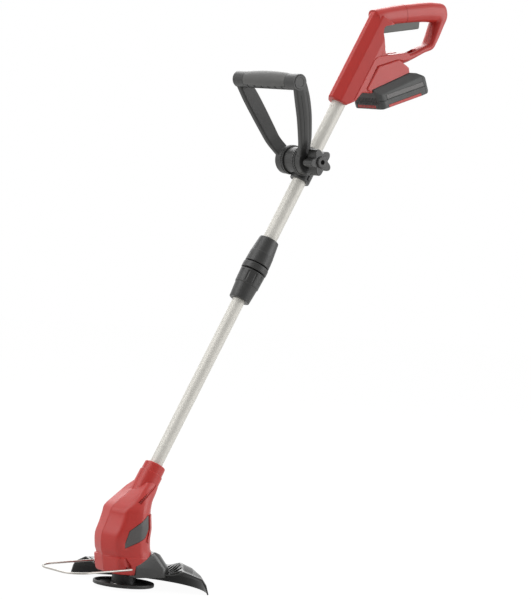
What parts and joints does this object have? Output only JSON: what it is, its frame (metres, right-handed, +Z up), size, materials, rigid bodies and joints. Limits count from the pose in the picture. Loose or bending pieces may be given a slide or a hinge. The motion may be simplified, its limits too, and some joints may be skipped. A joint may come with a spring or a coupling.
{
  "type": "cordless grass trimmer",
  "caption": "Battery grass trimmer with telescopic tube, closed rear grip, D-shaped front handle, motor head, blade disc, guard and wire plant guard.",
  "frame": {"origin": "middle of the rear grip's hand area, where the hand holds the tool", "axes": "+Z up in the working stance of the picture, +X towards the user, -X towards the cutting head, +Y towards the tool's right"},
  "size_m": [0.7544, 0.2381, 1.0539],
  "materials": {
    "red_plastic": "satin moulded",
    "red_trim": "satin moulded",
    "black_plastic": "fine matt grain",
    "soft_grip": "soft matt",
    "pack_plastic": "fine matt grain",
    "trigger_plastic": "fine matt grain",
    "badge_plastic": "smooth",
    "tube_aluminium": "satin coated",
    "steel": "machined",
    "plated_wire": "bright plated",
    "cell_wrap": "smooth film",
    "rotor_windings": "wound and lacquered"
  },
  "bodies": {
    "rear_housing": {"rear_shell_left": "red_plastic", "rear_shell_right": "red_plastic", "upper_tube": "tube_aluminium", "sleeve_body": "black_plastic", "sleeve_ring": "black_plastic", "switch_box": "black_plastic", "terminal_block": "black_plastic", "trigger_pin": "steel", "trigger_spring": "steel", "rear_screw_1": "steel", "rear_screw_2": "steel", "rear_screw_3": "steel", "rear_screw_4": "steel"},
    "trigger": {"trigger": "trigger_plastic"},
    "lock_button": {"lock_button": "black_plastic"},
    "battery": {"battery_upper_case": "pack_plastic", "battery_lower_case": "pack_plastic", "battery_strip_left": "red_trim", "battery_strip_right": "red_trim", "battery_strip_front": "red_trim", "battery_label": "badge_plastic", "battery_cell_1": "cell_wrap", "battery_cell_2": "cell_wrap", "battery_cell_3": "cell_wrap", "battery_cell_4": "cell_wrap", "battery_cell_5": "cell_wrap"},
    "battery_release": {"battery_release": "trigger_plastic"},
    "handle_clamp": {"clamp_front": "black_plastic", "clamp_rear": "black_plastic", "clamp_bolt": "steel"},
    "front_handle": {"front_handle_frame": "black_plastic", "front_handle_grip": "soft_grip", "handle_cap_left": "black_plastic", "handle_cap_right": "black_plastic"},
    "clamp_knob": {"clamp_knob": "black_plastic"},
    "sleeve_nut": {"sleeve_nut": "black_plastic"},
    "lower_shaft": {"lower_tube": "tube_aluminium", "head_shell_left": "red_plastic", "head_shell_right": "red_plastic", "head_badge": "badge_plastic", "motor_can": "steel", "motor_end_bell": "black_plastic", "spindle_bearing": "steel", "guard": "black_plastic", "guard_screw_1": "steel", "guard_screw_2": "steel", "head_screw_1": "steel", "head_screw_2": "steel", "head_screw_3": "steel"},
    "wire_bail": {"wire_bail": "plated_wire"},
    "spindle": {"spindle": "steel", "motor_rotor": "rotor_windings", "cutter_disc": "black_plastic", "blade_pin": "steel"}
  },
  "joints": [
    {"name": "telescope", "type": "slide", "parent": "rear_housing", "child": "lower_shaft", "axis": [0.4555, 0, 0.8902], "range_m": [0, 0.18]},
    {"name": "sleeve_nut_turn", "type": "hinge", "parent": "rear_housing", "child": "sleeve_nut", "pos_m": [-0.32682, 0, -0.51596], "axis": [0.4555, 0, 0.8902], "range_deg": [0, 90]},
    {"name": "trigger_pull", "type": "hinge", "parent": "rear_housing", "child": "trigger", "pos_m": [-0.064, 0, -0.024], "axis": [0, -1, 0], "range_deg": [0, 6], "stiffness_Nm_per_rad": 2.5, "springref_deg": -4.58, "deforming": ["trigger_spring"]},
    {"name": "lock_press", "type": "slide", "parent": "rear_housing", "child": "lock_button", "axis": [0, -1, 0], "range_m": [0, 0.0025], "stiffness_N_per_m": 600, "springref_m": -0.002},
    {"name": "battery_slide", "type": "slide", "parent": "rear_housing", "child": "battery", "axis": [0.907, 0, 0.421], "range_m": [0, 0.078]},
    {"name": "release_press", "type": "slide", "parent": "battery", "child": "battery_release", "axis": [-0.907, 0, -0.421], "range_m": [0, 0.0025], "stiffness_N_per_m": 600, "springref_m": -0.002},
    {"name": "clamp_slide", "type": "slide", "parent": "rear_housing", "child": "handle_clamp", "axis": [0.4555, 0, 0.8902], "range_m": [-0.08, 0.06]},
    {"name": "handle_tilt", "type": "hinge", "parent": "handle_clamp", "child": "front_handle", "pos_m": [-0.2325, 0, -0.28115], "axis": [0, 1, 0], "range_deg": [-40, 25]},
    {"name": "knob_turn", "type": "hinge", "parent": "handle_clamp", "child": "clamp_knob", "pos_m": [-0.2325, 0, -0.28115], "axis": [0, 1, 0], "continuous": true},
    {"name": "bail_flip", "type": "hinge", "parent": "lower_shaft", "child": "wire_bail", "pos_m": [-0.55159, 0, -0.99023], "axis": [0, 1, 0], "range_deg": [0, 80]},
    {"name": "spindle_spin", "type": "hinge", "parent": "lower_shaft", "child": "spindle", "pos_m": [-0.52659, 0, -1.01923], "axis": [0, 0, 1], "continuous": true}
  ]
}
